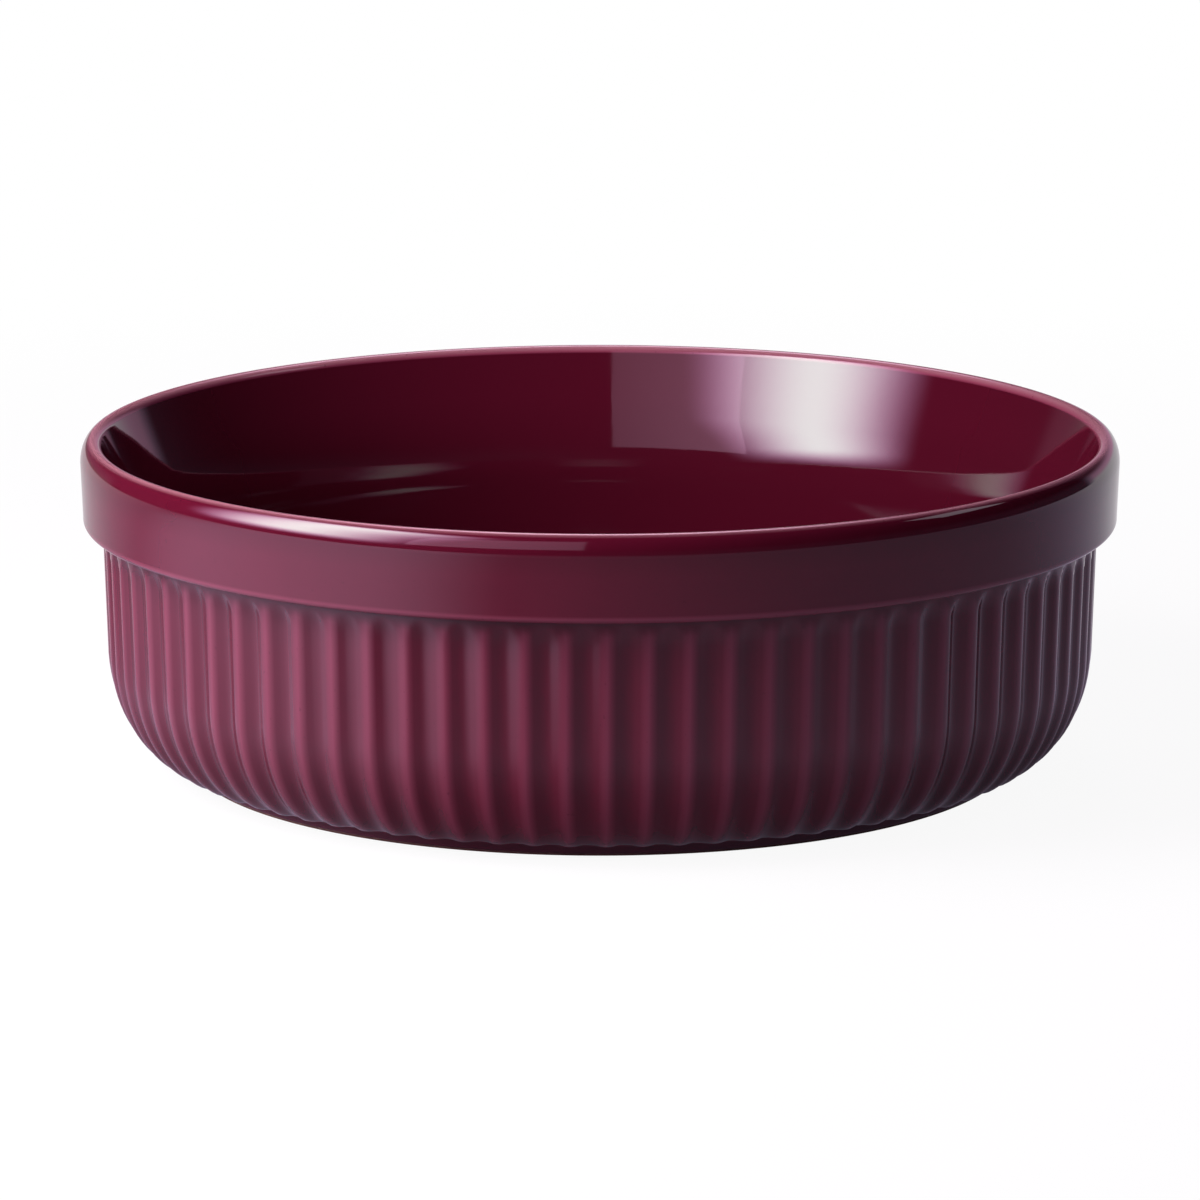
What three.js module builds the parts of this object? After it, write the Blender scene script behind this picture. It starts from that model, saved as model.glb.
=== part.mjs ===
// Round fluted baking dish: a fired stoneware body, the glass glaze fused over it, and the glaze
// disc inside the foot ring. Millimetres, +Z up. The origin is on the dish's axis, in the plane
// that the foot ring stands on.
import * as THREE from "three";

// Overall sizes
const rimDiameter = 260;
const dishHeight = 83;

// Rim band
const bandHeight = 21;
const bandTaper = 0.5; // the band is this much slimmer, in radius, at its lower edge
const shoulderWidth = 3.2; // the outer shoulder is a quarter ellipse
const shoulderHeight = 5.6;
const lipRadius = 2.2; // inner edge of the lip
const bandEdgeRadius = 1.2;
const bandOverhang = 4.8; // from the band's lower edge in to the wall

// Fluted wall
const wallTaper = 0.9; // the straight wall is this much slimmer, in radius, at its foot
const wallCurveWidth = 20; // the wall turns under in a quarter ellipse, cut off above the foot
const wallCurveTop = 31.3;
const wallCurveTail = 1.7; // what is cut off the ellipse, in height
const fluteCount = 80;
const fluteDepth = 1.8;
const fluteTopGap = 1.4; // plain wall between the band and the flutes
const fluteRunIn = 4.2; // height over which a flute reaches its full depth

// Inside
const flareAngle = THREE.MathUtils.degToRad(22); // the inside leans out by this below the lip
const flareHeight = 18; // from the lip's top down to the foot of the straight flare
const flareBendRadius = 50; // between the flare and the upright wall below it
const floorThickness = 6.4;
const floorCornerRadius = 20;

// Foot ring
const footDiameter = 208;
const footHeight = 4; // lower edge of the fluted wall above the table
const footWidth = 6;
const footEdgeRadius = 0.4;
const recessDepth = 2.6;

// Glaze
const glazeThickness = 0.5;
const glazeLineHeight = 0.7; // the foot is bare clay below this line
const discClearance = 1.5; // bare rim between the glaze disc and the foot ring

// Fineness of the facets
const stepsPerFlute = 3;
const cornerSteps = 3;

const rimRadius = rimDiameter / 2;
const bandEdge = rimRadius - bandTaper;
const bandBottom = dishHeight - bandHeight;
const wallTopRadius = bandEdge - bandOverhang;
const wallCurveRadius = wallTopRadius - wallTaper;
const wallCurveHeight = wallCurveTop - footHeight + wallCurveTail;
const fluteTop = bandBottom - fluteTopGap;
const footRadius = footDiameter / 2;
const lipTopRadius = rimRadius - shoulderWidth;
const lipFootRadius = lipTopRadius - lipRadius * Math.cos(flareAngle);
const lipFootHeight = dishHeight - lipRadius + lipRadius * Math.sin(flareAngle);
const flareFootHeight = dishHeight - flareHeight;
const flareFootRadius = lipFootRadius - (lipFootHeight - flareFootHeight) * Math.tan(flareAngle);
const flareBendMiddle = flareFootRadius + flareBendRadius * Math.cos(flareAngle);
const innerWallRadius = flareBendMiddle - flareBendRadius;
const floorHeight = recessDepth + floorThickness;
const floorRadius = innerWallRadius - floorCornerRadius;

// A ring of the dish's surface: radius and height, the outward normal there, and the depth of
// the flutes on it.
function ring(r, z, nr, nz, depth = 0) {
  const length = Math.hypot(nr, nz);
  return { r, z, nr: nr / length, nz: nz / length, depth };
}

// Rings along an elliptic arc round (r, z), with its own normals turned out (1) or in (-1).
function arcRings({ r, z, width, height, from, to, steps, side = 1, depth = 0 }) {
  const rings = [];
  for (let i = 0; i <= steps; i += 1) {
    const angle = THREE.MathUtils.lerp(from, to, i / steps);
    const across = Math.cos(angle);
    const up = Math.sin(angle);
    const normal = [(side * across) / width, (side * up) / height];
    rings.push(ring(r + width * across, z + height * up, ...normal, depth));
  }
  return rings;
}

// The inside, from the middle of the floor to the top of the lip.
function insideRings() {
  const corner = arcRings({
    r: floorRadius,
    z: floorHeight + floorCornerRadius,
    width: floorCornerRadius,
    height: floorCornerRadius,
    from: -Math.PI / 2,
    to: 0,
    steps: cornerSteps,
    side: -1,
  });
  const flareBend = arcRings({
    r: flareBendMiddle,
    z: flareFootHeight - flareBendRadius * Math.sin(flareAngle),
    width: flareBendRadius,
    height: flareBendRadius,
    from: Math.PI,
    to: Math.PI - flareAngle,
    steps: cornerSteps,
  });
  const lip = arcRings({
    r: lipTopRadius,
    z: dishHeight - lipRadius,
    width: lipRadius,
    height: lipRadius,
    from: Math.PI - flareAngle,
    to: Math.PI / 2,
    steps: cornerSteps - 1,
  });
  return [ring(0, floorHeight, 0, 1), ...corner, ...flareBend, ...lip];
}

// The rim band, from the outer shoulder to the corner under the band.
function bandRings() {
  const shoulder = arcRings({
    r: lipTopRadius,
    z: dishHeight - shoulderHeight,
    width: shoulderWidth,
    height: shoulderHeight,
    from: Math.PI / 2,
    to: 0,
    steps: cornerSteps,
  });
  const lowerEdge = arcRings({
    r: bandEdge - bandEdgeRadius,
    z: bandBottom + bandEdgeRadius,
    width: bandEdgeRadius,
    height: bandEdgeRadius,
    from: 0,
    to: -Math.PI / 2,
    steps: cornerSteps - 1,
  });
  return [...shoulder.slice(1), ...lowerEdge, ring(wallTopRadius, bandBottom, 1, -1)];
}

// One ring of the straight wall, which leans in a little towards its foot.
function wallRing(z, depth) {
  const straight = bandBottom - wallCurveTop;
  const r = wallTopRadius - (wallTaper * (bandBottom - z)) / straight;
  return ring(r, z, straight, -wallTaper, depth);
}

// The fluted wall, from the plain strip under the band to the scalloped edge over the foot.
function wallRings() {
  const cutOff = Math.asin((wallCurveTop - footHeight) / wallCurveHeight);
  const curve = arcRings({
    r: wallCurveRadius - wallCurveWidth,
    z: wallCurveTop,
    width: wallCurveWidth,
    height: wallCurveHeight,
    from: 0,
    to: -cutOff,
    steps: cornerSteps,
    depth: fluteDepth,
  });
  return [wallRing(fluteTop, 0), wallRing(fluteTop - fluteRunIn, fluteDepth), ...curve];
}

// The undercut above the foot, and the foot's side down to the line where the glaze ends.
function footRings() {
  const undercut = ring(footRadius, footHeight, 1, -1);
  return [undercut, ring(footRadius, glazeLineHeight, 1, 0)];
}

// How deep a flute is at a place across it: a round scoop between two sharp crests.
function scoop(phase) {
  return 1 - (2 * phase - 1) ** 2;
}

// Points round one ring, sunk below the glazed surface by a depth along the ring's normal. A
// plain ring has a point for each flute, and a fluted ring has several.
function ringPoints({ r, z, nr, nz, depth }, sunk) {
  if (r === 0) return [new THREE.Vector3(0, 0, z - sunk * nz)];
  const steps = depth > 0 ? stepsPerFlute : 1;
  const points = [];
  for (let i = 0; i < fluteCount * steps; i += 1) {
    const angle = (2 * Math.PI * i) / (fluteCount * steps);
    const drop = sunk + depth * scoop((i % steps) / steps);
    const across = r - nr * drop;
    points.push(new THREE.Vector3(across * Math.cos(angle), across * Math.sin(angle), z - nz * drop));
  }
  return points;
}

// A band of triangles between two rings of points, which may differ in number.
function zip(triangles, a, b) {
  let i = 0;
  let j = 0;
  while (i < a.length || j < b.length) {
    const here = a[i % a.length];
    const there = b[j % b.length];
    const alongA = j === b.length || (i < a.length && (i + 1) * b.length <= (j + 1) * a.length);
    const next = alongA ? a[(i + 1) % a.length] : b[(j + 1) % b.length];
    if (alongA) i += 1;
    else j += 1;
    if (next !== here && next !== there) triangles.push(here, there, next);
  }
}

// Places rings of points one after another, and gives the rows of their numbers.
function place(positions, pointRings) {
  return pointRings.map((points) =>
    points.map((point) => positions.push(point.x, point.y, point.z) / 3 - 1),
  );
}

// Triangles through a run of rows, facing out of the dish's wall.
function cover(rows) {
  const triangles = [];
  rows.slice(1).forEach((row, i) => zip(triangles, rows[i], row));
  return triangles;
}

function closedGeometry(positions, triangles) {
  const geometry = new THREE.BufferGeometry();
  geometry.setAttribute("position", new THREE.Float32BufferAttribute(positions, 3));
  geometry.setIndex(triangles);
  geometry.computeVertexNormals();
  return geometry;
}

// A solid inside one face that starts and ends on the axis.
function solidWithin(face) {
  const positions = [];
  const rows = place(positions, face);
  return closedGeometry(positions, cover(rows));
}

// A coat between an outer face and a lining face, which both start on the axis and end at a rim.
function coatBetween(face, lining) {
  const positions = [];
  const rows = place(positions, face);
  const liningRows = place(positions, lining);
  const edge = cover([rows.at(-1), liningRows.at(-1)]);
  return closedGeometry(positions, [...cover(rows), ...cover(liningRows).reverse(), ...edge]);
}

function part(name, geometry, color, roughness) {
  const material = new THREE.MeshStandardMaterial({ color, roughness, metalness: 0 });
  const mesh = new THREE.Mesh(geometry, material);
  mesh.name = name;
  return mesh;
}

const dishRings = [...insideRings(), ...bandRings(), ...wallRings(), ...footRings()];
const glazeFace = dishRings.map((each) => ringPoints(each, 0));
const clayFace = dishRings.map((each) => ringPoints(each, glazeThickness));

// The foot ring of bare clay: its side, the face it stands on, and the recess under the floor.
function footFace() {
  const outer = footRadius - glazeThickness;
  const inner = outer - footWidth;
  const outerEdge = arcRings({
    r: outer - footEdgeRadius,
    z: footEdgeRadius,
    width: footEdgeRadius,
    height: footEdgeRadius,
    from: 0,
    to: -Math.PI / 2,
    steps: cornerSteps - 1,
  });
  const innerEdge = arcRings({
    r: inner + footEdgeRadius,
    z: footEdgeRadius,
    width: footEdgeRadius,
    height: footEdgeRadius,
    from: -Math.PI / 2,
    to: -Math.PI,
    steps: cornerSteps - 1,
  });
  const recess = [ring(inner, recessDepth, -1, -1), ring(0, recessDepth, 0, -1)];
  return [...outerEdge, ...innerEdge, ...recess].map((each) => ringPoints(each, 0));
}

const discRadius = footRadius - glazeThickness - footWidth - discClearance;
const discProfile = [
  new THREE.Vector2(0, recessDepth - glazeThickness),
  new THREE.Vector2(discRadius - glazeThickness, recessDepth - glazeThickness),
  new THREE.Vector2(discRadius, recessDepth),
  new THREE.Vector2(0, recessDepth),
];
const discGeometry = new THREE.LatheGeometry(discProfile, fluteCount).rotateX(Math.PI / 2);

const glazeColor = 0x5a1328;
const clayColor = 0xc9b39c;

const dish = new THREE.Group();
dish.add(part("stoneware_body", solidWithin([...clayFace, ...footFace()]), clayColor, 0.85));
dish.add(part("glaze_coat", coatBetween(glazeFace, clayFace), glazeColor, 0.12));
dish.add(part("underside_glaze", discGeometry, glazeColor, 0.2));

export default dish;
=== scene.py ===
# Round fluted baking dish in wine-red glaze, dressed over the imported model. Metres, +Z up.
import math

import bmesh
import bpy
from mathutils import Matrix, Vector


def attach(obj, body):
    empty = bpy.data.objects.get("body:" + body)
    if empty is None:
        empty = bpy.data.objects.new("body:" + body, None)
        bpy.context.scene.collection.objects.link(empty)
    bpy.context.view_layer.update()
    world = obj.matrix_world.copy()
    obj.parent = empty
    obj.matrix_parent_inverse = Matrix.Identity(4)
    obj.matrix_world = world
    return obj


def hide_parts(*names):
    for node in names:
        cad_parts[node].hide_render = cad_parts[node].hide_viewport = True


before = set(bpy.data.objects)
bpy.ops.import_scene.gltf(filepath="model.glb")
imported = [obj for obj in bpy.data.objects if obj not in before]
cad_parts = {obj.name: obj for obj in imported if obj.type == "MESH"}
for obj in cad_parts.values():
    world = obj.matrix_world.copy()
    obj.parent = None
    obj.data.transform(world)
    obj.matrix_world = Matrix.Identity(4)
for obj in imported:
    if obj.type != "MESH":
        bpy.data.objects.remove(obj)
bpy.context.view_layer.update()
mm = 0.001
print("frame loaded:", ", ".join(sorted(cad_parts)))

# the dish's own sizes, in millimetres, shared by the glaze and the clay under it
dish = {
    "height": 83.0,
    "rimRadius": 130.0,
    "shoulder": (3.2, 5.6),  # width and height of the rounded outer shoulder
    "lipRadius": 2.2,
    "lipFoot": 0.5,  # length below the lip where its colour passes into that of the inside
    "lipInside": (0.4, 1.4),  # depths between which the pale lip fades, inside and outside; thin glaze with a painted highlight
    "lipOutside": (0.1, 0.5),
    "bandBottom": 62.0,
    "bandTaper": 0.5,
    "bandEdge": 1.2,  # rounding of the band's lower edge
    "bandClear": 0.7,  # height over that edge where the band's own colour ends
    "cove": 0.7,  # the glaze fills the corner under the band
    "wallTop": 124.7,
    "wallRows": (51.2, 44.0, 37.0),  # heights of the rows of points down the straight wall
    "wallCurve": (103.8, 31.3, 20.0, 29.0),  # middle, width and height of the turn under the wall
    "wallCurveEnd": 70.3,  # degrees
    "floorHeight": 9.0,
    "floorCorner": 20.0,
    "flare": 22.0,  # degrees that the inside leans out, below the lip
    "flareFoot": 65.0,  # height where the straight flare begins, above a soft bend
    "flareBend": 50.0,
    "footRadius": 104.0,
    "footSide": 2.6,  # height where the foot's upright side begins
    "glazeLine": 0.7,
    "glazeRoll": 0.3,  # height of the glaze's rounded edge over that line
    "glazeEnd": (0.06, 0.08),  # where it ends, in from the foot's side and over the line
    "glazeThickness": 0.5,
}

flutes = {
    "count": 80,
    "depth": 1.3,
    "crestShare": 0.52,  # part of a flute's width that is the rounded crest
    "top": 60.4,
    "runIn": 5.2,  # height over which a flute opens to its full depth
    "arch": 0.15,  # how much shallower its middle is where it opens
    "edgeLoss": 0.5,  # part of the depth that is lost at the scalloped edge
    "scallop": 0.86,  # rise of the face under that edge, as a share of the depth
    "poolAndShade": 0.3,  # how far the glaze pools in the bottom of a flute
    "thin": 0.8,  # and how thin it lies on a crest, lighter, which also paints a highlight line there
    "crestLine": 5.0,  # the higher, the narrower that line of thin glaze and painted highlight
}

# how the glaze lies along the dish: pooled and darker, or thin and lighter; some of this is painted
# shade and painted light, noted below
glazeLies = {
    "inside": dict(poolAndShade=1.0),
    "flare": dict(poolAndShade=0.9),
    # thin glaze over the lip, with a painted highlight along it
    "lip": dict(thin=1.0),
    # painted shade: the shoulder is darkened where it faces the lamps above
    "shoulder": dict(poolAndShade=0.5),
    # thin glaze, with a painted highlight along the band's lower edge
    "bandEdge": dict(thin=0.7),
    "cove": dict(poolAndShade=0.9),
    # painted light: the foot's side and the glaze's end are lightened in the dish's shade
    "footSide": dict(thin=0.8),
    "glazeEnd": dict(thin=0.5),
}

# rows under the scalloped edge, from outside in: millimetres past the foot's radius, and height
# their lighter colour is painted light: a highlight along the scalloped edge, and a lift in its
# shade
undercut = [
    dict(r=5.9, z=3.78, flute=1.0, upright=1.0, fade=1.0, thin=0.9),
    dict(r=5.3, z=3.80, flute=1.0, upright=1.0, fade=1.0, thin=0.4),
    dict(r=0.9, z=3.95, flute=0.9, upright=1.0, fade=1.0, poolAndShade=0.3),
    dict(r=0.2, z=3.40, thin=0.5),
]

profileLayers = ("nr", "nz", "flute", "upright", "fade", "thin", "poolAndShade", "pale")
onePoint = 1e-7  # points nearer than this, in metres, are one
weld = 2e-6  # and than this where the sectors of the dish meet


def arcPoints(middle, size, start, end, steps, **extra):
    points = []
    for i in range(steps + 1):
        turn = math.radians(start + (end - start) * i / steps)
        across, up = math.cos(turn), math.sin(turn)
        points.append(dict(r=middle[0] + size[0] * across, z=middle[1] + size[1] * up, **extra))
    return points


def linePoints(a, b, steps, **extra):
    points = []
    for i in range(1, steps + 1):
        share = i / steps
        r, z = (low + (high - low) * share for low, high in zip(a, b))
        points.append(dict(r=r, z=z, **extra))
    return points


# note how pale the lip is, from full to none between two depths below its top: thin glaze, with a
# painted highlight
def paled(points, depths):
    for point in points:
        deep = (dish["height"] - point["z"] - depths[0]) / (depths[1] - depths[0])
        point["pale"] = 1 - min(1.0, max(0.0, deep))
    return points


# the inside, from the middle of the floor to the top of the lip
def insideFace(fine):
    lean, bend = math.radians(dish["flare"]), dish["flareBend"]
    lipRadius, corner, below = dish["lipRadius"], dish["floorCorner"], dish["lipFoot"]
    lipMiddle = (dish["rimRadius"] - dish["shoulder"][0], dish["height"] - lipRadius)
    lip = arcPoints(lipMiddle, (lipRadius, lipRadius), 180 - dish["flare"], 90, 2 * fine,
                    **glazeLies["lip"])
    flareFoot = (lip[0]["r"] - (lip[0]["z"] - dish["flareFoot"]) * math.tan(lean), dish["flareFoot"])
    bendMiddle = (flareFoot[0] + bend * math.cos(lean), flareFoot[1] - bend * math.sin(lean))
    cornerMiddle = (bendMiddle[0] - bend - corner, dish["floorHeight"] + corner)
    lipFoot = (lip[0]["r"] - below * math.sin(lean), lip[0]["z"] - below * math.cos(lean))
    inside = glazeLies["inside"]
    points = [dict(r=0.0, z=dish["floorHeight"], **inside)]
    points += arcPoints(cornerMiddle, (corner, corner), -90, 0, 4 * fine, **inside)
    points += arcPoints(bendMiddle, (bend, bend), 180, 180 - dish["flare"], 3 * fine, **inside)
    points += linePoints(flareFoot, lipFoot, fine, **glazeLies["flare"])
    return points + paled(lip, dish["lipInside"])


# the rim band, from the outer shoulder to the filled corner under the band
def bandFace(fine):
    rim, bottom = dish["rimRadius"], dish["bandBottom"]
    edge, cove = dish["bandEdge"], dish["cove"]
    width, drop = dish["shoulder"]
    shoulderFoot, bandFoot = dish["height"] - drop, rim - dish["bandTaper"]
    shoulder = arcPoints((rim - width, shoulderFoot), (width, drop), 90, 0, 3 * fine,
                         **glazeLies["shoulder"])
    points = paled(shoulder[1:], dish["lipOutside"])
    points += linePoints((rim, shoulderFoot), (bandFoot, bottom + edge + dish["bandClear"]), fine)
    points += arcPoints((bandFoot - edge, bottom + edge), (edge, edge), 0, -90, 2 * fine,
                        **glazeLies["bandEdge"])
    points += arcPoints((dish["wallTop"] + cove, bottom - cove), (cove, cove), 90, 180, fine,
                        **glazeLies["cove"])
    return points


# the fluted wall, from the tops of the flutes to the scalloped edge
def wallFace(fine):
    opening, runIn, bottom = flutes["top"], flutes["runIn"], dish["bandBottom"]
    across, up, width, height = dish["wallCurve"]
    rows = [opening - runIn * i / (2 * fine) for i in range(2 * fine + 1)]
    rows += dish["wallRows"]
    taper = (dish["wallTop"] - across - width) / (bottom - up)
    points = [dict(r=dish["wallTop"] - taper * (bottom - z), z=z,
                   flute=min(1.0, (opening - z) / runIn)) for z in rows]
    under = arcPoints((across, up), (width, height), 0, -dish["wallCurveEnd"], 5 * fine, flute=1.0)
    for i, point in enumerate(under[-2 * fine:]):
        point["fade"] = (i + 1) / (2 * fine)  # the flutes grow shallow towards the scalloped edge
    return points + under


# under the scalloped edge, and down the foot's side to the line where the glaze ends
def footFace(fine):
    foot, line = dish["footRadius"], dish["glazeLine"]
    inward, over = dish["glazeEnd"]
    points = [dict(row, r=foot + row["r"]) for row in undercut]
    points += linePoints((foot, dish["footSide"]), (foot, line + dish["glazeRoll"]), fine,
                         **glazeLies["footSide"])
    return points + [dict(r=foot - inward, z=line + over, **glazeLies["glazeEnd"])]


# outward direction of each profile point, from its neighbours
def addDirections(points):
    for i, point in enumerate(points):
        a, b = points[max(i - 1, 0)], points[min(i + 1, len(points) - 1)]
        run, rise = b["r"] - a["r"], b["z"] - a["z"]
        length = math.hypot(run, rise) or 1.0
        point["nr"], point["nz"] = -rise / length, run / length
        if point["r"] == 0:
            point["nr"], point["nz"] = 0.0, 1.0
    return points


# all of the glazed face, from the middle of the floor over the lip to the foot
def glazedFace(fine, footFine):
    upper = insideFace(fine) + bandFace(fine) + wallFace(fine)
    return addDirections(upper + footFace(footFine))


def sunkBy(points, depth):
    return [dict(p, r=max(0.0, p["r"] - p["nr"] * depth), z=p["z"] - p["nz"] * depth)
            for p in points]


# how deep a flute is across its width: a rounded crest at 0 and 1, a wide scoop between
def scoopDepth(place):
    u = min(place, 1 - place)
    crest = flutes["crestShare"] / 2
    valley = 0.5 - crest
    if u < crest:
        return 2 * u * u / crest
    return 1 - 2 * (0.5 - u) ** 2 / valley


# a flute starts as an arch: its middle opens first
def openedDepth(depth, share):
    if share <= 0:
        return 0.0
    if share >= 1:
        return depth
    lift = (1 - share) ** 2
    return max(0.0, depth - lift) * (1 - flutes["arch"] * lift)


# sink the flutes into the wall, and note where the glaze pools and where it lies thin, which is also
# painted as a highlight line on each crest
def cutFlutes(bm, layers):
    for vert in bm.verts:
        flute = vert[layers["flute"]]
        if flute <= 0:
            continue
        turn = math.atan2(vert.co.y, vert.co.x) / math.tau * flutes["count"]
        shape = scoopDepth(turn % 1.0)
        depth = flutes["depth"] * (1 - flutes["edgeLoss"] * vert[layers["fade"]])
        drop = openedDepth(shape, flute) * depth * mm
        if vert[layers["upright"]] > 0:
            vert.co.z += flutes["scallop"] * drop
        else:
            across = Vector((vert.co.x, vert.co.y, 0)).normalized()
            vert.co -= across * (vert[layers["nr"]] * drop)
            vert.co.z -= vert[layers["nz"]] * drop
        opened = min(1.0, 2 * flute)
        poolAndShade = flutes["poolAndShade"] * shape ** 2 * opened
        thin = flutes["thin"] * max(0.0, 1 - flutes["crestLine"] * shape) * opened
        vert[layers["poolAndShade"]] = max(vert[layers["poolAndShade"]], poolAndShade)
        vert[layers["thin"]] = max(vert[layers["thin"]], thin)


# spin a profile through one flute's width, shape that sector, then repeat it round the dish
def spinProfile(points, steps):
    bm = bmesh.new()
    layers = {key: bm.verts.layers.float.new(key) for key in profileLayers}
    row = []
    for point in points:
        vert = bm.verts.new((point["r"] * mm, 0, point["z"] * mm))
        for key in profileLayers:
            vert[layers[key]] = point.get(key, 0.0)
        row.append(vert)
    edges = [bm.edges.new(pair) for pair in zip(row, row[1:])]
    pitch = math.tau / flutes["count"]
    axis = dict(cent=(0, 0, 0), axis=(0, 0, 1), dvec=(0, 0, 0))
    bmesh.ops.spin(bm, geom=row + edges, angle=pitch, steps=steps, **axis)
    cutFlutes(bm, layers)
    bmesh.ops.remove_doubles(bm, verts=bm.verts, dist=onePoint)
    sector = bm.verts[:] + bm.edges[:] + bm.faces[:]
    bmesh.ops.spin(bm, geom=sector, angle=math.tau - pitch, steps=flutes["count"] - 1,
                   use_duplicate=True, **axis)
    bmesh.ops.remove_doubles(bm, verts=bm.verts, dist=weld)
    bmesh.ops.dissolve_degenerate(bm, dist=onePoint, edges=bm.edges)
    return bm


def finishPiece(name, bm, material, node):
    bmesh.ops.recalc_face_normals(bm, faces=bm.faces)
    for face in bm.faces:
        face.smooth = True
    mesh = bpy.data.meshes.new(name)
    bm.to_mesh(mesh)
    bm.free()
    mesh.materials.append(material)
    piece = bpy.data.objects.new(name, mesh)
    bpy.context.scene.collection.objects.link(piece)
    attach(piece, "root")
    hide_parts(node)
    mesh.calc_loop_triangles()
    print(name, "made,", len(mesh.loop_triangles), "triangles")


def newMaterial(name):
    material = bpy.data.materials.new(name)
    material.use_nodes = True
    nodes, links = material.node_tree.nodes, material.node_tree.links
    nodes.clear()
    output = nodes.new("ShaderNodeOutputMaterial")
    shader = nodes.new("ShaderNodeBsdfPrincipled")
    links.new(shader.outputs["BSDF"], output.inputs["Surface"])
    return material, nodes, links, shader


def noiseNode(nodes, links, coords, scale, detail, rough=0.5):
    noise = nodes.new("ShaderNodeTexNoise")
    noise.inputs["Scale"].default_value = scale
    noise.inputs["Detail"].default_value = detail
    noise.inputs["Roughness"].default_value = rough
    links.new(coords, noise.inputs["Vector"])
    return noise.outputs["Fac"]


def rangeNode(nodes, links, source, low, high, toLow, toHigh, smooth=False):
    node = nodes.new("ShaderNodeMapRange")
    node.interpolation_type = "SMOOTHSTEP" if smooth else "LINEAR"
    sockets = ("From Min", "From Max", "To Min", "To Max")
    for socket, value in zip(sockets, (low, high, toLow, toHigh)):
        node.inputs[socket].default_value = value
    links.new(source, node.inputs["Value"])
    return node.outputs["Result"]


def mathNode(nodes, links, operation, a, b):
    node = nodes.new("ShaderNodeMath")
    node.operation = operation
    for socket, value in zip(node.inputs, (a, b)):
        if isinstance(value, (int, float)):
            socket.default_value = value
        else:
            links.new(value, socket)
    return node.outputs["Value"]


def vectorNode(nodes, links, operation, source, way=None):
    node = nodes.new("ShaderNodeVectorMath")
    node.operation = operation
    links.new(source, node.inputs[0])
    if way:
        node.inputs[1].default_value = way
    return node.outputs


def mixColour(nodes, links, share, a, b):
    node = nodes.new("ShaderNodeMix")
    node.data_type = "RGBA"
    links.new(share, node.inputs["Factor"])
    for socket, value in (("A", a), ("B", b)):
        target = [s for s in node.inputs if s.name == socket and s.type == "RGBA"][0]
        if isinstance(value, tuple):
            target.default_value = (*value, 1)
        else:
            links.new(value, target)
    return [s for s in node.outputs if s.type == "RGBA"][0]


def mixShaders(nodes, links, share, a, b):
    node = nodes.new("ShaderNodeMixShader")
    for socket, source in zip(node.inputs, (share, a, b)):
        links.new(source, socket)
    return node.outputs["Shader"]


def bumpNode(nodes, links, height, strength, distance, normal=None):
    bump = nodes.new("ShaderNodeBump")
    bump.inputs["Strength"].default_value = strength
    bump.inputs["Distance"].default_value = distance
    links.new(height, bump.inputs["Height"])
    if normal:
        links.new(normal, bump.inputs["Normal"])
    return bump.outputs["Normal"]


def attributeNode(nodes, key):
    node = nodes.new("ShaderNodeAttribute")
    node.attribute_name = key
    return node.outputs["Fac"]


# rays that see the floor or the room in the dish's gloss
def mirroredRays(nodes, links, path):
    return mathNode(nodes, links, "ADD", path.outputs["Is Glossy Ray"],
                    path.outputs["Is Transmission Ray"])


wineGlaze = {
    "body": (0.082, 0.0046, 0.0160),
    "lip": (0.25, 0.105, 0.12),  # where the glaze has run thin off the lip, also a painted highlight along it
    "brokenAndLit": (0.165, 0.030, 0.054),  # over edges, where it lies thin; also painted highlights on crests and edges, and painted light on the shaded foot
    "pooledAndShaded": (0.050, 0.0029, 0.0093),  # inside and in the flutes, where it lies thick; also painted shade on the shoulder
    "mottle": (0.076, 0.0042, 0.0146),
    "cloud": (55.0, 4.0, 0.6),  # scale, detail and roughness of the mottling
    "cloudEdges": (0.35, 0.7),
    "fleck": (900.0, 1.0),  # scale and detail of the fine dark flecks
    "fleckEdges": (0.70, 0.78),
    "fleckShare": 0.35,
    "sheen": (90.0, 3.0),  # scale and detail of the patches that are less glossy
    "sheenEdges": (0.3, 0.7),
    "gloss": (0.025, 0.06),  # roughness
    "ior": 1.52,
    "waves": (28.0, 0.10),  # scale and strength of the slow waves of the glass
    "peel": (330.0, 0.035),  # and of its fine skin
    "relief": 0.035,  # height of both, before it is divided by their scale
}


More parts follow.
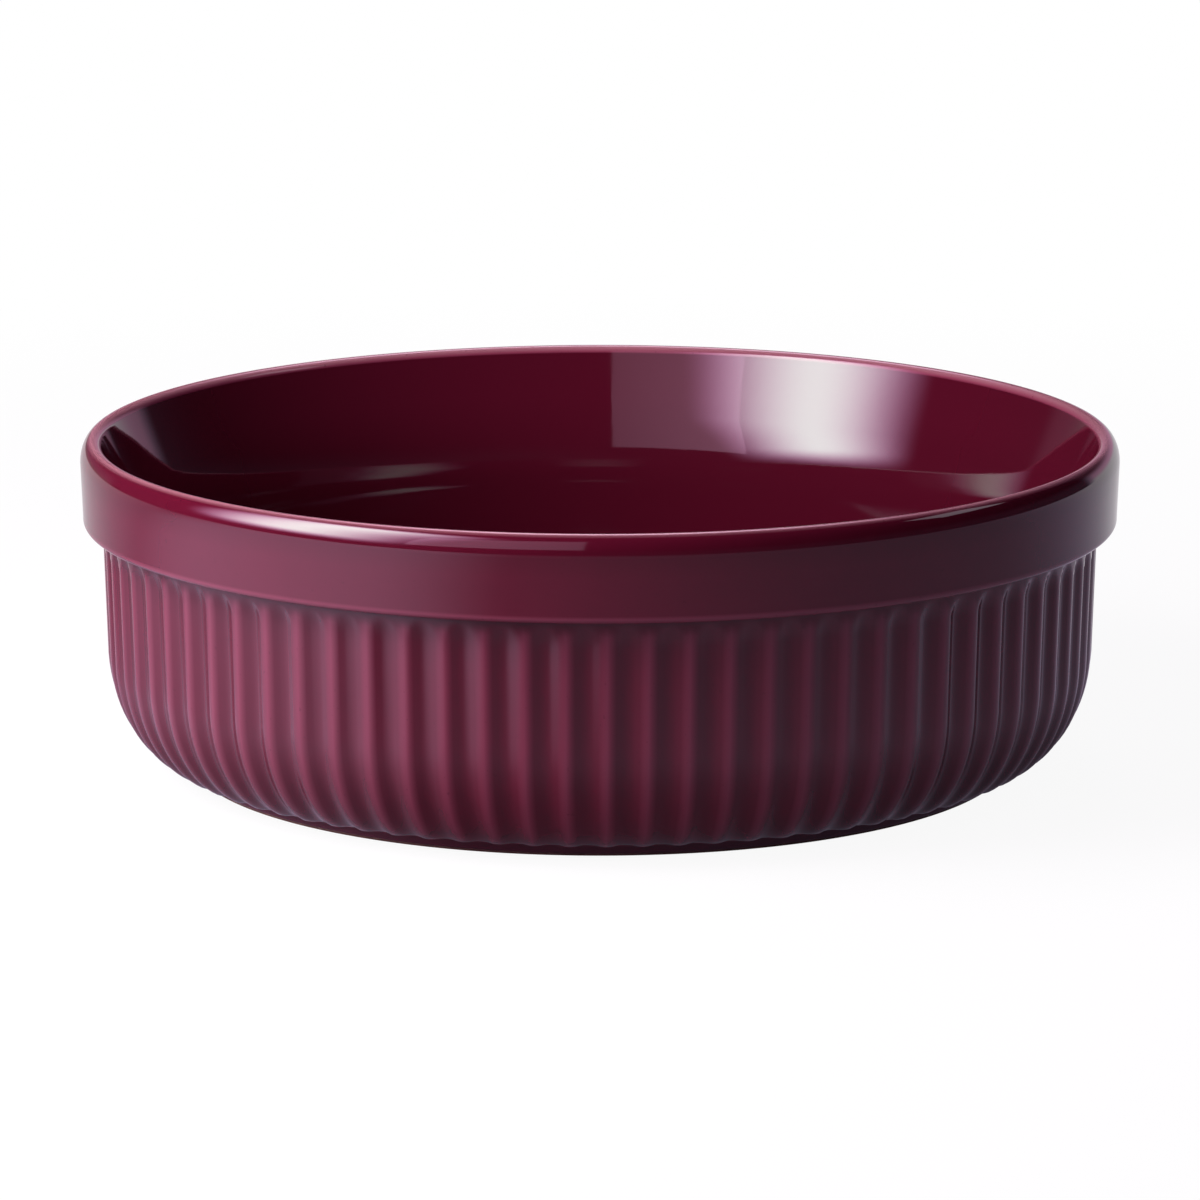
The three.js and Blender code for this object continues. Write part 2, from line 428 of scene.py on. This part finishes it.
def makeWineGlaze():
    material, nodes, links, shader = newMaterial("wine_glaze")
    coords = nodes.new("ShaderNodeTexCoord").outputs["Object"]
    cloud = noiseNode(nodes, links, coords, *wineGlaze["cloud"])
    share = rangeNode(nodes, links, cloud, *wineGlaze["cloudEdges"], 0.0, 1.0)
    colour = mixColour(nodes, links, share, wineGlaze["body"], wineGlaze["mottle"])
    # pooled glaze and painted shade, thin glaze and painted light, and the pale lip with its painted
    # highlight
    for key, other in (("poolAndShade", "pooledAndShaded"), ("thin", "brokenAndLit"), ("pale", "lip")):
        colour = mixColour(nodes, links, attributeNode(nodes, key), colour, wineGlaze[other])
    fleck = noiseNode(nodes, links, coords, *wineGlaze["fleck"])
    dots = rangeNode(nodes, links, fleck, *wineGlaze["fleckEdges"], 0.0, wineGlaze["fleckShare"])
    colour = mixColour(nodes, links, dots, colour, wineGlaze["pooledAndShaded"])
    links.new(colour, shader.inputs["Base Color"])
    sheen = noiseNode(nodes, links, coords, *wineGlaze["sheen"])
    rough = rangeNode(nodes, links, sheen, *wineGlaze["sheenEdges"], *wineGlaze["gloss"])
    links.new(rough, shader.inputs["Roughness"])
    shader.inputs["IOR"].default_value = wineGlaze["ior"]
    normal = None
    for scale, strength in (wineGlaze["waves"], wineGlaze["peel"]):
        noise = noiseNode(nodes, links, coords, scale, 1.0)
        normal = bumpNode(nodes, links, noise, strength, wineGlaze["relief"] / scale, normal)
    links.new(normal, shader.inputs["Normal"])
    return material


bareClay = {
    "body": (0.52, 0.40, 0.29),
    "dark": (0.36, 0.25, 0.17),
    "cloud": (70.0, 4.0, 0.6),  # scale, detail and roughness of the dark patches
    "cloudEdges": (0.3, 0.7),
    "grog": (0.24, 0.14, 0.09),  # dark grains in the clay
    "grain": (1400.0, 2.0),  # scale and detail of the grains
    "grainEdges": (0.62, 0.72),
    "grainShare": 0.7,
    "toasted": (0.12, 0.025, 0.02),  # flushed by the glaze beside its line
    "matt": (0.72, 0.9),  # roughness
    "mattEdges": (0.3, 0.7),
    "relief": (0.5, 0.0002),  # strength and height of the grains
}


def makeBareClay():
    material, nodes, links, shader = newMaterial("bare_clay")
    coords = nodes.new("ShaderNodeTexCoord").outputs["Object"]
    cloud = noiseNode(nodes, links, coords, *bareClay["cloud"])
    share = rangeNode(nodes, links, cloud, *bareClay["cloudEdges"], 0.0, 1.0)
    colour = mixColour(nodes, links, share, bareClay["body"], bareClay["dark"])
    grain = noiseNode(nodes, links, coords, *bareClay["grain"])
    grains = rangeNode(nodes, links, grain, *bareClay["grainEdges"], 0.0, bareClay["grainShare"])
    colour = mixColour(nodes, links, grains, colour, bareClay["grog"])
    colour = mixColour(nodes, links, attributeNode(nodes, "thin"), colour, bareClay["toasted"])
    links.new(colour, shader.inputs["Base Color"])
    rough = rangeNode(nodes, links, grain, *bareClay["mattEdges"], *bareClay["matt"])
    links.new(rough, shader.inputs["Roughness"])
    links.new(bumpNode(nodes, links, grain, *bareClay["relief"]), shader.inputs["Normal"])
    return material


wine = makeWineGlaze()
clay = makeBareClay()
print("materials made")

# glaze coat: the glazed face and, half a millimetre in, the face that is fused to the clay
coat = {
    "fine": (3, 2),  # steps along the curves of the dish and of its foot
    "plain": (1, 1),  # and along those of the hidden face
    "around": 9,  # steps across a flute
}

fineFace = glazedFace(*coat["fine"])
plainFace = glazedFace(*coat["plain"])
lining = sunkBy(plainFace, dish["glazeThickness"])
coatShape = spinProfile(fineFace + lining[::-1], coat["around"])
finishPiece("wine_glaze_coat", coatShape, wine, "glaze_coat")

# clay body: under the coat, with the bare foot ring it stands on
foot = {
    "width": 6.0,
    "edge": 0.4,
    "recess": 2.6,
    "recessCorner": 0.8,
    "cornerSteps": 4,
    "toasted": 0.75,  # how far the outer edge is flushed
    "gap": 0.05,  # between the clay and the coat's inner face
    "around": 6,
}


def clayFace():
    outer = dish["footRadius"] - dish["glazeThickness"]
    inner, edge = outer - foot["width"], foot["edge"]
    recess, corner, steps = foot["recess"], foot["recessCorner"], foot["cornerSteps"]
    points = sunkBy(plainFace, dish["glazeThickness"] + foot["gap"])
    points += arcPoints((outer - edge, edge), (edge, edge), 0, -90, steps, thin=foot["toasted"])
    points += arcPoints((inner + edge, edge), (edge, edge), -90, -180, steps)
    points += arcPoints((inner - corner, recess - corner), (corner, corner), 0, 90, steps)
    return points + [dict(r=0.0, z=recess)]


finishPiece("stoneware", spinProfile(clayFace(), foot["around"]), clay, "stoneware_body")

# glaze poured inside the foot ring, with a soft thicker rim
footGlaze = {
    "radius": 96.0,
    "top": 2.6,
    "tuck": 0.2,  # how far its hidden upper face stops short of the edge
    "thickness": 0.5,
    "rim": 1.4,
    "rimSteps": 8,
    "slope": ((2.6, 0.85), (5.0, 0.8)),  # rims in from the edge, and share of the thickness there
    "wander": 0.35,  # how far the poured edge wanders
    "wanderFrom": 0.9,  # share of the radius
    "waves": ((5, 0.6, 1.0), (13, 2.1, 0.6), (29, 0.0, 0.4)),  # number, start and strength
    "waveShare": 0.5,
    "poolAndShade": 0.4,
    "around": 4,
}


def makeFootGlaze():
    radius, top, thick = footGlaze["radius"], footGlaze["top"], footGlaze["thickness"]
    rim = footGlaze["rim"]
    points = [dict(r=0.0, z=top), dict(r=radius - footGlaze["tuck"], z=top)]
    points += arcPoints((radius - rim, top), (rim, thick), 0, -90, footGlaze["rimSteps"])
    for inward, share in footGlaze["slope"]:
        points += [dict(r=radius - inward * rim, z=top - share * thick)]
    points += [dict(r=0.0, z=points[-1]["z"])]
    bm = spinProfile(addDirections(points), footGlaze["around"])
    poolAndShade = bm.verts.layers.float["poolAndShade"]
    for vert in bm.verts:
        vert[poolAndShade] = footGlaze["poolAndShade"]
        out = math.hypot(vert.co.x, vert.co.y)
        if out > footGlaze["wanderFrom"] * radius * mm:
            turn = math.atan2(vert.co.y, vert.co.x)
            wave = sum(strength * math.sin(number * turn + start)
                       for number, start, strength in footGlaze["waves"])
            scale = 1 - footGlaze["wander"] * mm * (1 + footGlaze["waveShare"] * wave) / out
            vert.co.x *= scale
            vert.co.y *= scale
    finishPiece("foot_glaze", bm, wine, "underside_glaze")


makeFootGlaze()

# pale floor: plain white to the camera away from the dish, with the dish's shadow beside it;
# in the gloss it glows instead, with painted light from the left and behind and a painted shadow of
# the dish
floor = {
    "radius": 7.0,
    "sides": 96,
    "below": 0.0001,
    "colour": (0.86, 0.86, 0.86),
    "matt": 0.9,
    "bounce": (0.32, 0.26, 0.28),  # what it throws back on to the dish
    "nearWhite": 0.93,  # share of plain white that the camera sees beside the dish
    "fade": (0.22, 0.7),  # metres from the dish's middle
    "glossTint": (0.87, 0.71, 1.0),
    "backTint": (1.0, 0.95, 1.0),
    "behind": (0.2, 0.9),  # the one tint turns into the other towards the back
    "glossDark": 0.33,
    "left": dict(strength=1.38, way=(-0.883, -0.469, 0.0), start=0.7),  # patches of painted light
    "back": dict(strength=0.42, way=(0.0, 1.0, 0.0), start=-0.2),
    # two distances from the dish's middle, in metres, and the share of the light at each
    "bright": (0.18, 0.34, 1.3, 1.0),  # painted light: the floor's glow is brighter near the dish
    "dim": (0.18, 0.40, 0.62, 1.0),  # and the left patch is weaker there
    "shade": (0.105, 0.18, 0.32, 1.0),  # painted shadow of the dish
}


def makeFloorMaterial():
    material, nodes, links, shader = newMaterial("pale_floor")
    coords = nodes.new("ShaderNodeTexCoord").outputs["Object"]
    out = vectorNode(nodes, links, "LENGTH", coords)["Value"]
    side = vectorNode(nodes, links, "NORMALIZE", coords)["Vector"]
    path = nodes.new("ShaderNodeLightPath")
    camera = path.outputs["Is Camera Ray"]
    base = mixColour(nodes, links, camera, floor["bounce"], floor["colour"])
    links.new(base, shader.inputs["Base Color"])
    shader.inputs["Roughness"].default_value = floor["matt"]
    bright, dim, shade = (rangeNode(nodes, links, out, *floor[key], smooth=True)
                          for key in ("bright", "dim", "shade"))
    level = mathNode(nodes, links, "MULTIPLY", bright, floor["glossDark"])
    for patch, share in ((floor["left"], dim), (floor["back"], 1.0)):
        toward = vectorNode(nodes, links, "DOT_PRODUCT", side, patch["way"])["Value"]
        lit = rangeNode(nodes, links, toward, patch["start"], 1.0, 0.0, patch["strength"],
                        smooth=True)
        lit = mathNode(nodes, links, "MULTIPLY", lit, share)
        level = mathNode(nodes, links, "ADD", lit, level)
    level = mathNode(nodes, links, "MULTIPLY", level, shade)
    backward = vectorNode(nodes, links, "DOT_PRODUCT", side, floor["back"]["way"])["Value"]
    behind = rangeNode(nodes, links, backward, *floor["behind"], 0.0, 1.0, smooth=True)
    gloss = nodes.new("ShaderNodeEmission")
    tint = mixColour(nodes, links, behind, floor["glossTint"], floor["backTint"])
    links.new(tint, gloss.inputs["Color"])
    links.new(level, gloss.inputs["Strength"])
    white = nodes.new("ShaderNodeEmission")
    seen = rangeNode(nodes, links, out, *floor["fade"], floor["nearWhite"], 1.0)
    toCamera = mathNode(nodes, links, "MULTIPLY", seen, camera)
    mirrored = mirroredRays(nodes, links, path)
    surface = mixShaders(nodes, links, mirrored, shader.outputs["BSDF"], gloss.outputs["Emission"])
    surface = mixShaders(nodes, links, toCamera, surface, white.outputs["Emission"])
    output = [n for n in nodes if n.type == "OUTPUT_MATERIAL"][0]
    links.new(surface, output.inputs["Surface"])
    return material


def makeFloor():
    bm = bmesh.new()
    bmesh.ops.create_circle(bm, cap_ends=True, segments=floor["sides"], radius=floor["radius"])
    bmesh.ops.translate(bm, verts=bm.verts, vec=(0, 0, -floor["below"]))
    mesh = bpy.data.meshes.new("floor")
    bm.to_mesh(mesh)
    bm.free()
    mesh.materials.append(makeFloorMaterial())
    piece = bpy.data.objects.new("floor", mesh)
    bpy.context.scene.collection.objects.link(piece)


makeFloor()

# room: white for the camera, and a backdrop behind the dish for its gloss
room = {
    "white": (1.0, 1.0, 1.0),
    "fill": 0.17,
    "fillTint": (0.66, 0.52, 1.0),
    "front": 0.06,
    "back": 0.76,
    "edge": (0.66, 0.76),  # where the pale backdrop begins, along Y
    "top": (0.10, 0.30, 1.0, 0.1),  # heights along Z, and the backdrop's share of light at each
    "side": (-0.3, 0.4, 0.25, 1.0),  # the same from left to right, along X
    "tint": (0.84, 0.66, 1.0),
    "backTint": (1.0, 0.94, 1.0),
    "lift": (0.0, 0.10),  # the backdrop turns from white to pink over this height, along Z
    "liftTint": (1.0, 0.52, 0.78),
}


def makeRoom():
    world = bpy.data.worlds.new("studio")
    bpy.context.scene.world = world
    world.use_nodes = True
    nodes, links = world.node_tree.nodes, world.node_tree.links
    nodes.clear()
    output = nodes.new("ShaderNodeOutputWorld")
    background = nodes.new("ShaderNodeBackground")
    links.new(background.outputs["Background"], output.inputs["Surface"])
    coords = nodes.new("ShaderNodeTexCoord")
    split = nodes.new("ShaderNodeSeparateXYZ")
    links.new(coords.outputs["Generated"], split.inputs["Vector"])
    x, y, z = (split.outputs[key] for key in "XYZ")
    path = nodes.new("ShaderNodeLightPath")
    camera, diffuse = path.outputs["Is Camera Ray"], path.outputs["Is Diffuse Ray"]
    level = rangeNode(nodes, links, y, *room["edge"], room["front"], room["back"], smooth=True)
    for source, key in ((z, "top"), (x, "side")):
        share = rangeNode(nodes, links, source, *room[key], smooth=True)
        level = mathNode(nodes, links, "MULTIPLY", level, share)
    level = mathNode(nodes, links, "MULTIPLY", level, mirroredRays(nodes, links, path))
    fill = mathNode(nodes, links, "MULTIPLY", diffuse, room["fill"])
    level = mathNode(nodes, links, "ADD", level, fill)
    level = mathNode(nodes, links, "MAXIMUM", level, camera)
    links.new(level, background.inputs["Strength"])
    behind = rangeNode(nodes, links, y, *room["edge"], 0.0, 1.0, smooth=True)
    lift = rangeNode(nodes, links, z, *room["lift"], 0.0, 1.0, smooth=True)
    colour = mixColour(nodes, links, lift, room["backTint"], room["liftTint"])
    colour = mixColour(nodes, links, behind, room["tint"], colour)
    colour = mixColour(nodes, links, diffuse, colour, room["fillTint"])
    colour = mixColour(nodes, links, camera, colour, room["white"])
    links.new(colour, background.inputs["Color"])


makeRoom()

# each lamp: where it stands, what it points at, its size, power and tint; a softbox has the
# shares of its face that fade across and up, and a scrim the levels at its two ends
lamps = {
    "left_softbox": dict(place=(-0.4458, -0.2032, 0.3955), aim=(0, 0, 0.06), size=(0.72, 0.63),
                         power=24.0, tint=(0.96, 1.0, 1.0), soft=(0.5, 0.25), rim=(1.0, 0.42, 0.85)),
    "front_scrim": dict(place=(-0.40, -0.85, 0.68), aim=(-0.40, 0, 0.68), size=(0.68, 0.75),
                        power=2.8, tint=(1.0, 0.60, 0.88), ramp=(1.25, 0.6)),
    "back_softbox": dict(place=(0.0, 0.85, 1.0), aim=(0, 0, 0.08), size=(0.9, 0.9),
                         power=16.0, tint=(0.92, 0.76, 0.90), soft=(0.5, 0.5), rim=(1.0, 0.8, 1.0)),
    "right_fill": dict(place=(0.976, 0.168, 0.92), aim=(0, 0, 0.06), size=(0.50, 0.26),
                       power=0.6, tint=(0.96, 0.86, 1.0)),
}
halfFace = 0.5  # from the middle of a lamp's face to its edge


# nodes of a lamp's face, with the place on it across and up
def lampFace(light):
    light.use_nodes = True
    nodes, links = light.node_tree.nodes, light.node_tree.links
    glow = [n for n in nodes if n.type == "EMISSION"][0]
    face = nodes.new("ShaderNodeNewGeometry")
    split = nodes.new("ShaderNodeSeparateXYZ")
    links.new(face.outputs["Parametric"], split.inputs["Vector"])
    return nodes, links, glow, split


# a scrim is brighter on the side of the lamp behind it
def rampLamp(light, ends):
    nodes, links, glow, split = lampFace(light)
    level = rangeNode(nodes, links, split.outputs["X"], 0.0, 1.0, *ends)
    links.new(level, glow.inputs["Strength"])


# a softbox is brightest in its middle, and tinted towards its rim
def softenLamp(light, edges, rim):
    nodes, links, glow, split = lampFace(light)
    level = 1.0
    for key, edge in zip("XY", edges):
        off = mathNode(nodes, links, "SUBTRACT", split.outputs[key], halfFace)
        off = mathNode(nodes, links, "ABSOLUTE", off, 0)
        share = rangeNode(nodes, links, off, halfFace - edge, halfFace, 1.0, 0.0, smooth=True)
        level = mathNode(nodes, links, "MULTIPLY", share, level)
    links.new(level, glow.inputs["Strength"])
    links.new(mixColour(nodes, links, level, rim, room["white"]), glow.inputs["Color"])


def makeLamps():
    for name, lamp in lamps.items():
        light = bpy.data.lights.new(name, "AREA")
        light.shape = "RECTANGLE"
        light.size, light.size_y = lamp["size"]
        light.energy = lamp["power"]
        light.color = lamp["tint"]
        if "soft" in lamp:
            softenLamp(light, lamp["soft"], lamp["rim"])
        if "ramp" in lamp:
            rampLamp(light, lamp["ramp"])
        holder = bpy.data.objects.new(name, light)
        holder.location = lamp["place"]
        toward = Vector(lamp["aim"]) - holder.location
        holder.rotation_euler = toward.to_track_quat("-Z", "Y").to_euler()
        bpy.context.scene.collection.objects.link(holder)


makeLamps()

view = {
    "aim": (0, 0, 0.040),
    "distance": 1.650,
    "height": 12.17,  # degrees above the table
    "turn": -0.8,  # degrees round the dish, which sets the near flutes as they stand
    "lens": 196.4,
    "sensor": 36.0,
    "clip": (0.05, 50.0),
}


def makeCamera():
    camera = bpy.data.cameras.new("photo_view")
    camera.lens = view["lens"]
    camera.sensor_width = view["sensor"]
    camera.clip_start, camera.clip_end = view["clip"]
    holder = bpy.data.objects.new("photo_view", camera)
    up, turn = math.radians(view["height"]), math.radians(view["turn"])
    back = Vector((math.sin(turn) * math.cos(up), -math.cos(turn) * math.cos(up), math.sin(up)))
    holder.location = Vector(view["aim"]) + back * view["distance"]
    holder.rotation_euler = (-back).to_track_quat("-Z", "Y").to_euler()
    bpy.context.scene.collection.objects.link(holder)
    bpy.context.scene.camera = holder


makeCamera()
bpy.context.scene.view_settings.view_transform = "Standard"
print("studio and camera made")
